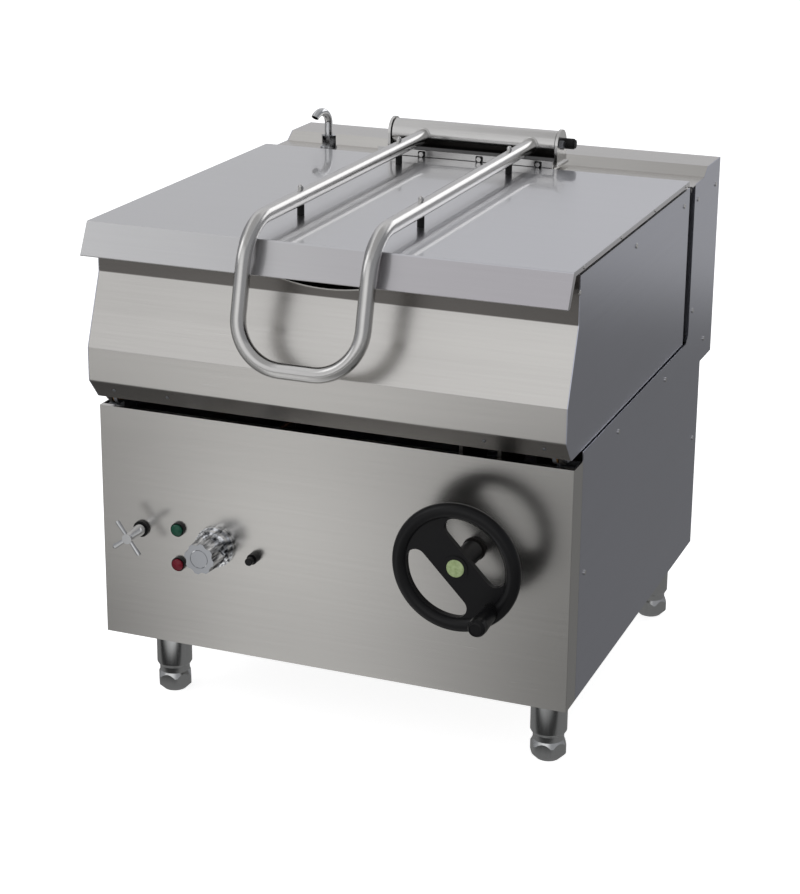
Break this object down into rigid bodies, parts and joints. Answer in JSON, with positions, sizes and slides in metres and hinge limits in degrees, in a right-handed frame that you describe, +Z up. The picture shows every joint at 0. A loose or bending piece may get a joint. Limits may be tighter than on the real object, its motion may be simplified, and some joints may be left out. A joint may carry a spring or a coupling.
{
  "type": "tilting skillet",
  "caption": "Free-standing tilting skillet: deep rectangular pan with hinged lid on a stainless cabinet, tilted by a handwheel screw, with rear column, water spout and adjustable feet.",
  "frame": {"origin": "middle of the footprint at floor level", "axes": "+Z up, -Y towards the operator's side with the handwheel and lid handle, +X to the operator's right"},
  "size_m": [0.8032, 1, 0.9122],
  "materials": {
    "brushed_stainless": "brushed satin",
    "polished_stainless": "polished",
    "chrome": "mirror",
    "foot_steel": "satin",
    "zinc_steel": "dull zinc",
    "element_steel": "oxidised",
    "spring_steel": "satin",
    "bronze": "machined",
    "brass": "machined",
    "copper_pipe": "drawn tube",
    "black_plastic": "fine satin",
    "grey_plastic": "satin",
    "black_rubber": "matt",
    "green_cap": "satin",
    "green_lens": "clear gloss",
    "red_lens": "clear gloss"
  },
  "bodies": {
    "base": {"base_frame": "zinc_steel", "bottom_panel": "brushed_stainless", "cabinet_screws": "polished_stainless", "cable_gland": "grey_plastic", "column_cap": "brushed_stainless", "front_panel": "brushed_stainless", "guide_rod": "zinc_steel", "lamp_holders": "black_plastic", "lamp_lens_green": "green_lens", "lamp_lens_red": "red_lens", "leg_tubes": "brushed_stainless", "pivot_brackets": "zinc_steel", "pivot_bushes": "bronze", "rear_skins": "brushed_stainless", "reset_housing": "black_plastic", "side_panel_left": "brushed_stainless", "side_panel_right": "brushed_stainless", "spindle_bearings": "black_plastic", "spout_nut": "chrome", "terminal_box": "grey_plastic", "thermostat_body": "grey_plastic", "valve_body": "brass", "valve_ring": "black_plastic", "water_pipe": "copper_pipe"},
    "pan": {"vessel": "brushed_stainless", "pouring_lip": "brushed_stainless", "pan_front_cover": "brushed_stainless", "pan_side_covers": "brushed_stainless", "pan_rear_cover": "brushed_stainless", "pan_tray": "zinc_steel", "heating_elements": "element_steel", "pivot_ears": "zinc_steel", "pivot_pins": "zinc_steel", "cam_plates": "zinc_steel", "hinge_bracket": "brushed_stainless", "bracket_bolts": "polished_stainless", "hinge_shaft": "zinc_steel", "lid_spring": "spring_steel", "hinge_stop": "black_rubber"},
    "lid": {"lid_panel": "brushed_stainless", "lid_liner": "brushed_stainless", "lid_handle": "polished_stainless", "lid_posts": "black_rubber", "lid_bolts": "polished_stainless", "hinge_barrel": "polished_stainless"},
    "wheel": {"handwheel": "black_plastic", "hub_cap": "green_cap", "grip_bolt": "zinc_steel", "screw_spindle": "zinc_steel"},
    "grip": {"crank_grip": "black_plastic"},
    "nut": {"travel_nut": "bronze", "nut_rollers": "zinc_steel"},
    "valve": {"valve_handle": "chrome"},
    "knob": {"thermostat_knob": "chrome"},
    "button": {"reset_button": "black_plastic"},
    "tap": {"spout": "chrome"},
    "foot_fl": {"foot_front_left": "foot_steel"},
    "foot_fr": {"foot_front_right": "foot_steel"},
    "foot_rl": {"foot_rear_left": "foot_steel"},
    "foot_rr": {"foot_rear_right": "foot_steel"}
  },
  "joints": [
    {"name": "pan_tilt", "type": "hinge", "parent": "base", "child": "pan", "pos_m": [0, -0.332, 0.558], "axis": [1, 0, 0], "range_deg": [0, 60]},
    {"name": "lid_open", "type": "hinge", "parent": "pan", "child": "lid", "pos_m": [-0.014, 0.362, 0.877], "axis": [-1, 0, 0], "range_deg": [0, 85]},
    {"name": "nut_travel", "type": "slide", "parent": "base", "child": "nut", "axis": [0, 1, 0], "range_m": [0, 0.262]},
    {"name": "handwheel_turn", "type": "hinge", "parent": "base", "child": "wheel", "pos_m": [0.245, -0.424, 0.389], "axis": [0, 1, 0], "range_deg": [0, 4716]},
    {"name": "grip_spin", "type": "hinge", "parent": "wheel", "child": "grip", "pos_m": [0.30335, -0.424, 0.32858], "axis": [0, 1, 0], "continuous": true},
    {"name": "valve_turn", "type": "hinge", "parent": "base", "child": "valve", "pos_m": [-0.329, -0.391, 0.335], "axis": [0, -1, 0], "range_deg": [0, 540]},
    {"name": "thermostat_turn", "type": "hinge", "parent": "base", "child": "knob", "pos_m": [-0.195, -0.374, 0.325], "axis": [0, 1, 0], "range_deg": [0, 300]},
    {"name": "reset_press", "type": "slide", "parent": "base", "child": "button", "axis": [0, 1, 0], "range_m": [0, 0.003], "stiffness_N_per_m": 600, "springref_m": -0.003},
    {"name": "spout_swivel", "type": "hinge", "parent": "base", "child": "tap", "pos_m": [-0.303, 0.362, 0.86], "axis": [0, 0, 1], "range_deg": [-90, 90]},
    {"name": "foot_fl_adjust", "type": "slide", "parent": "base", "child": "foot_fl", "axis": [0, 0, -1], "range_m": [0, 0.025]},
    {"name": "foot_fr_adjust", "type": "slide", "parent": "base", "child": "foot_fr", "axis": [0, 0, -1], "range_m": [0, 0.025]},
    {"name": "foot_rl_adjust", "type": "slide", "parent": "base", "child": "foot_rl", "axis": [0, 0, -1], "range_m": [0, 0.025]},
    {"name": "foot_rr_adjust", "type": "slide", "parent": "base", "child": "foot_rr", "axis": [0, 0, -1], "range_m": [0, 0.025]}
  ],
  "couplings": [
    {"joint": "nut_travel", "follows": "pan_tilt", "m_per_rad": 0.25019},
    {"joint": "handwheel_turn", "follows": "pan_tilt", "ratio": 78.6}
  ]
}
